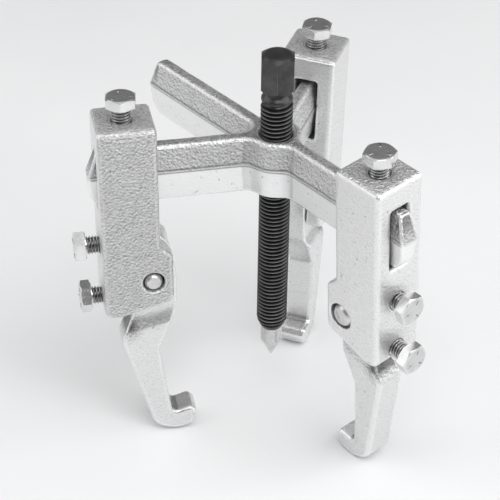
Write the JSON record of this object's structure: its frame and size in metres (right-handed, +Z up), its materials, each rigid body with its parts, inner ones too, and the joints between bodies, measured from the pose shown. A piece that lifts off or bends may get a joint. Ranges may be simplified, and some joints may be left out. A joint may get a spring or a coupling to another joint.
{
  "type": "gear puller",
  "caption": "Gear and bearing puller: hook jaws on sliding holders hang from a forged spider, with a central forcing screw that pushes on the shaft.",
  "frame": {"origin": "on the forcing screw axis, at the level of the floor that the three jaws stand on", "axes": "+Z up along the forcing screw; +X along the arm that carries the right leg; +Y completes a right-handed frame, so the rear leg is at 120 degrees, the free arm at 180 and the left leg at 240"},
  "size_m": [0.194, 0.1771, 0.2151],
  "materials": {
    "plated_forging": "nickel-plated drop forging, bright on ground faces and satin to coarse where the die surface is left",
    "zinc_bolt": "bright zinc-plated hex cap bolts",
    "black_screw": "black-oxide steel, oiled, bright on the thread crests",
    "ground_pin": "ground bright steel"
  },
  "bodies": {
    "spider": {"spider": "plated_forging"},
    "center_point": {"center_point": "ground_pin"},
    "forcing_screw": {"forcing_screw": "black_screw"},
    "left_leg": {"left_jaw_holder": "plated_forging", "left_pivot_pin": "ground_pin"},
    "left_jaw": {"left_jaw": "plated_forging"},
    "left_clamp_bolt": {"left_clamp_bolt": "zinc_bolt"},
    "left_upper_adjusting_bolt": {"left_upper_adjusting_bolt": "zinc_bolt"},
    "left_lower_adjusting_bolt": {"left_lower_adjusting_bolt": "zinc_bolt"},
    "right_leg": {"right_jaw_holder": "plated_forging", "right_pivot_pin": "ground_pin"},
    "right_jaw": {"right_jaw": "plated_forging"},
    "right_clamp_bolt": {"right_clamp_bolt": "zinc_bolt"},
    "right_upper_adjusting_bolt": {"right_upper_adjusting_bolt": "zinc_bolt"},
    "right_lower_adjusting_bolt": {"right_lower_adjusting_bolt": "zinc_bolt"},
    "rear_leg": {"rear_jaw_holder": "plated_forging", "rear_pivot_pin": "ground_pin"},
    "rear_jaw": {"rear_jaw": "plated_forging"},
    "rear_clamp_bolt": {"rear_clamp_bolt": "zinc_bolt"},
    "rear_upper_adjusting_bolt": {"rear_upper_adjusting_bolt": "zinc_bolt"},
    "rear_lower_adjusting_bolt": {"rear_lower_adjusting_bolt": "zinc_bolt"}
  },
  "joints": [
    {"name": "screw_advance", "type": "slide", "parent": "spider", "child": "center_point", "axis": [0, 0, 1], "range_m": [-0.0181, 0.0801]},
    {"name": "screw_turn", "type": "hinge", "parent": "center_point", "child": "forcing_screw", "pos_m": [0, 0, 0.05], "axis": [0, 0, 1], "range_deg": [-2824, 12490]},
    {"name": "left_reach", "type": "slide", "parent": "spider", "child": "left_leg", "axis": [-0.5, -0.866, 0], "range_m": [-0.0187, 0.0043]},
    {"name": "left_jaw_swing", "type": "hinge", "parent": "left_leg", "child": "left_jaw", "pos_m": [-0.02881, -0.05773, 0.09869], "axis": [-0.8639, 0.4988, -0.0698], "range_deg": [-8.2, 14.8]},
    {"name": "left_clamp_screw", "type": "slide", "parent": "left_leg", "child": "left_clamp_bolt", "axis": [-0.0604, 0.0349, 0.9976], "range_m": [-0.0018, 0.008]},
    {"name": "left_upper_adjustment", "type": "slide", "parent": "left_leg", "child": "left_upper_adjusting_bolt", "axis": [-0.5, -0.866, 0], "range_m": [-0.00444, 0.00247]},
    {"name": "left_lower_adjustment", "type": "slide", "parent": "left_leg", "child": "left_lower_adjusting_bolt", "axis": [-0.5, -0.866, 0], "range_m": [-0.00189, 0.0034]},
    {"name": "right_reach", "type": "slide", "parent": "spider", "child": "right_leg", "axis": [1, 0, 0], "range_m": [-0.0162, 0.0068]},
    {"name": "right_jaw_swing", "type": "hinge", "parent": "right_leg", "child": "right_jaw", "pos_m": [0.0619, 0.00333, 0.09945], "axis": [0, -0.9982, -0.0593], "range_deg": [-15.4, 7.6]},
    {"name": "right_clamp_screw", "type": "slide", "parent": "right_leg", "child": "right_clamp_bolt", "axis": [0, -0.0593, 0.9982], "range_m": [-0.0018, 0.008]},
    {"name": "right_upper_adjustment", "type": "slide", "parent": "right_leg", "child": "right_upper_adjusting_bolt", "axis": [1, 0, 0], "range_m": [-0.00229, 0.00462]},
    {"name": "right_lower_adjustment", "type": "slide", "parent": "right_leg", "child": "right_lower_adjusting_bolt", "axis": [1, 0, 0], "range_m": [-0.00354, 0.00176]},
    {"name": "rear_reach", "type": "slide", "parent": "spider", "child": "rear_leg", "axis": [-0.5, 0.866, 0], "range_m": [-0.005, 0.018]},
    {"name": "rear_jaw_swing", "type": "hinge", "parent": "rear_leg", "child": "rear_jaw", "pos_m": [-0.0262, 0.04342, 0.0993], "axis": [0.8659, 0.4999, -0.0175], "range_deg": [-17, 6]},
    {"name": "rear_clamp_screw", "type": "slide", "parent": "rear_leg", "child": "rear_clamp_bolt", "axis": [0.0151, 0.0087, 0.9998], "range_m": [-0.0018, 0.008]},
    {"name": "rear_upper_adjustment", "type": "slide", "parent": "rear_leg", "child": "rear_upper_adjusting_bolt", "axis": [-0.5, 0.866, 0], "range_m": [-0.00181, 0.00509]},
    {"name": "rear_lower_adjustment", "type": "slide", "parent": "rear_leg", "child": "rear_lower_adjusting_bolt", "axis": [-0.5, 0.866, 0], "range_m": [-0.00391, 0.00139]}
  ],
  "couplings": [
    {"joint": "screw_turn", "follows": "screw_advance", "rad_per_m": 2721.1},
    {"joint": "left_upper_adjustment", "follows": "left_jaw_swing", "m_per_rad": -0.0171},
    {"joint": "left_lower_adjustment", "follows": "left_jaw_swing", "m_per_rad": 0.0131},
    {"joint": "right_upper_adjustment", "follows": "right_jaw_swing", "m_per_rad": -0.0171},
    {"joint": "right_lower_adjustment", "follows": "right_jaw_swing", "m_per_rad": 0.0131},
    {"joint": "rear_upper_adjustment", "follows": "rear_jaw_swing", "m_per_rad": -0.0171},
    {"joint": "rear_lower_adjustment", "follows": "rear_jaw_swing", "m_per_rad": 0.0131}
  ]
}
